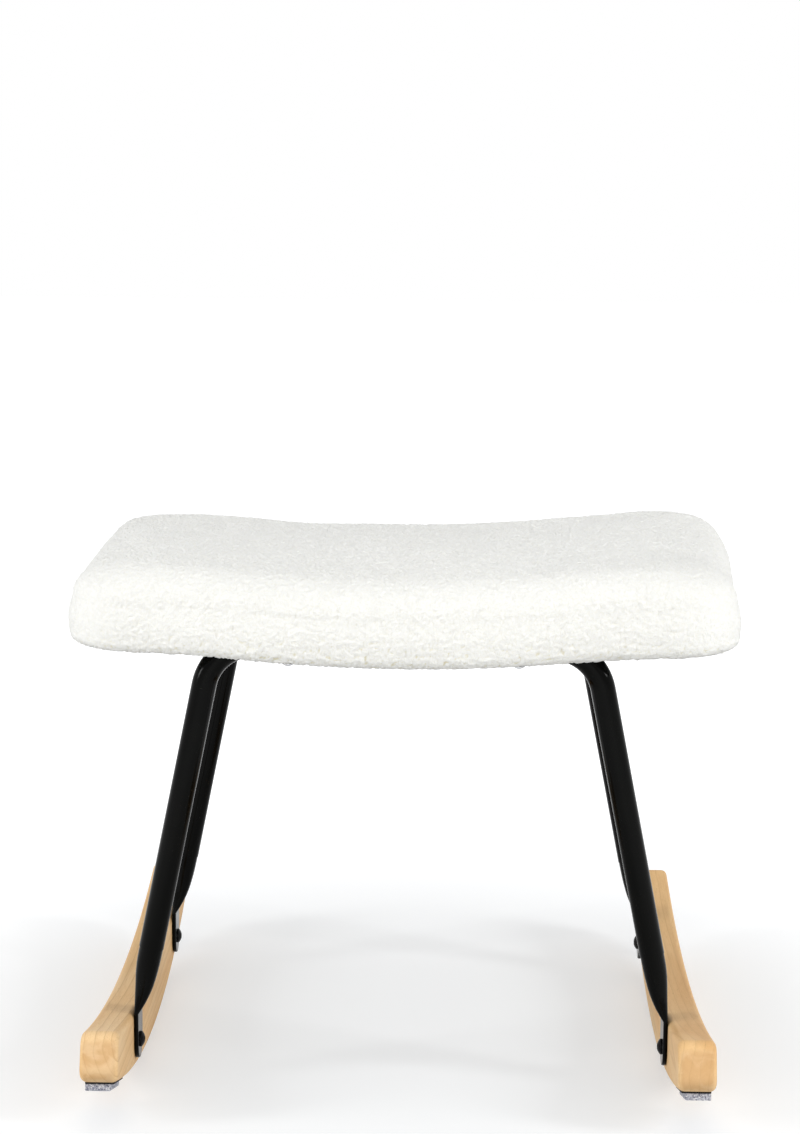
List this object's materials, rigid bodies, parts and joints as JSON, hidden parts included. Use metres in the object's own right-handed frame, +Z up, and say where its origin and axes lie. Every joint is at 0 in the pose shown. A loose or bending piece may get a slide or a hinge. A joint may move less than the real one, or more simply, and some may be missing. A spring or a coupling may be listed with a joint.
{
  "type": "rocking footstool",
  "caption": "Footstool with a dished, curly-pile upholstered seat on two bent steel tube frames, bolted to a pair of curved wooden rocker runners with felt stops.",
  "frame": {"origin": "on the floor under the middle of the stool, where the runners touch it", "axes": "+X across the seat to its right-hand end, +Y from the front leg frame to the rear one, +Z up"},
  "size_m": [0.5856, 0.5494, 0.4735],
  "materials": {
    "frame_paint": "satin black powder coat",
    "runner_wood": "clear satin lacquer on pale hardwood",
    "cover_fabric": "off-white curly pile",
    "foam": "upholstery foam",
    "board_wood": "raw plywood",
    "dust_cloth": "black non-woven cloth",
    "staple_steel": "galvanised wire",
    "zinc_steel": "zinc plated",
    "insert_metal": "yellow zinc",
    "black_steel": "black zinc",
    "pad_tape": "black adhesive foam tape",
    "pad_felt": "speckled grey felt"
  },
  "bodies": {
    "root": {"front_frame": "frame_paint", "rear_frame": "frame_paint", "left_runner": "runner_wood", "right_runner": "runner_wood", "seat_board": "board_wood", "foam_pad": "foam", "seat_cover": "cover_fabric", "dust_cover": "dust_cloth", "cover_staples": "staple_steel", "dust_cover_staples": "staple_steel", "t_nuts": "zinc_steel", "seat_bolts": "zinc_steel", "saddle_washers": "black_steel", "left_runner_inserts": "insert_metal", "right_runner_inserts": "insert_metal", "left_runner_bolts": "black_steel", "right_runner_bolts": "black_steel", "front_left_tape": "pad_tape", "front_right_tape": "pad_tape", "rear_left_tape": "pad_tape", "rear_right_tape": "pad_tape", "front_left_stop_pad": "pad_felt", "front_right_stop_pad": "pad_felt", "rear_left_stop_pad": "pad_felt", "rear_right_stop_pad": "pad_felt"}
  },
  "joints": []
}
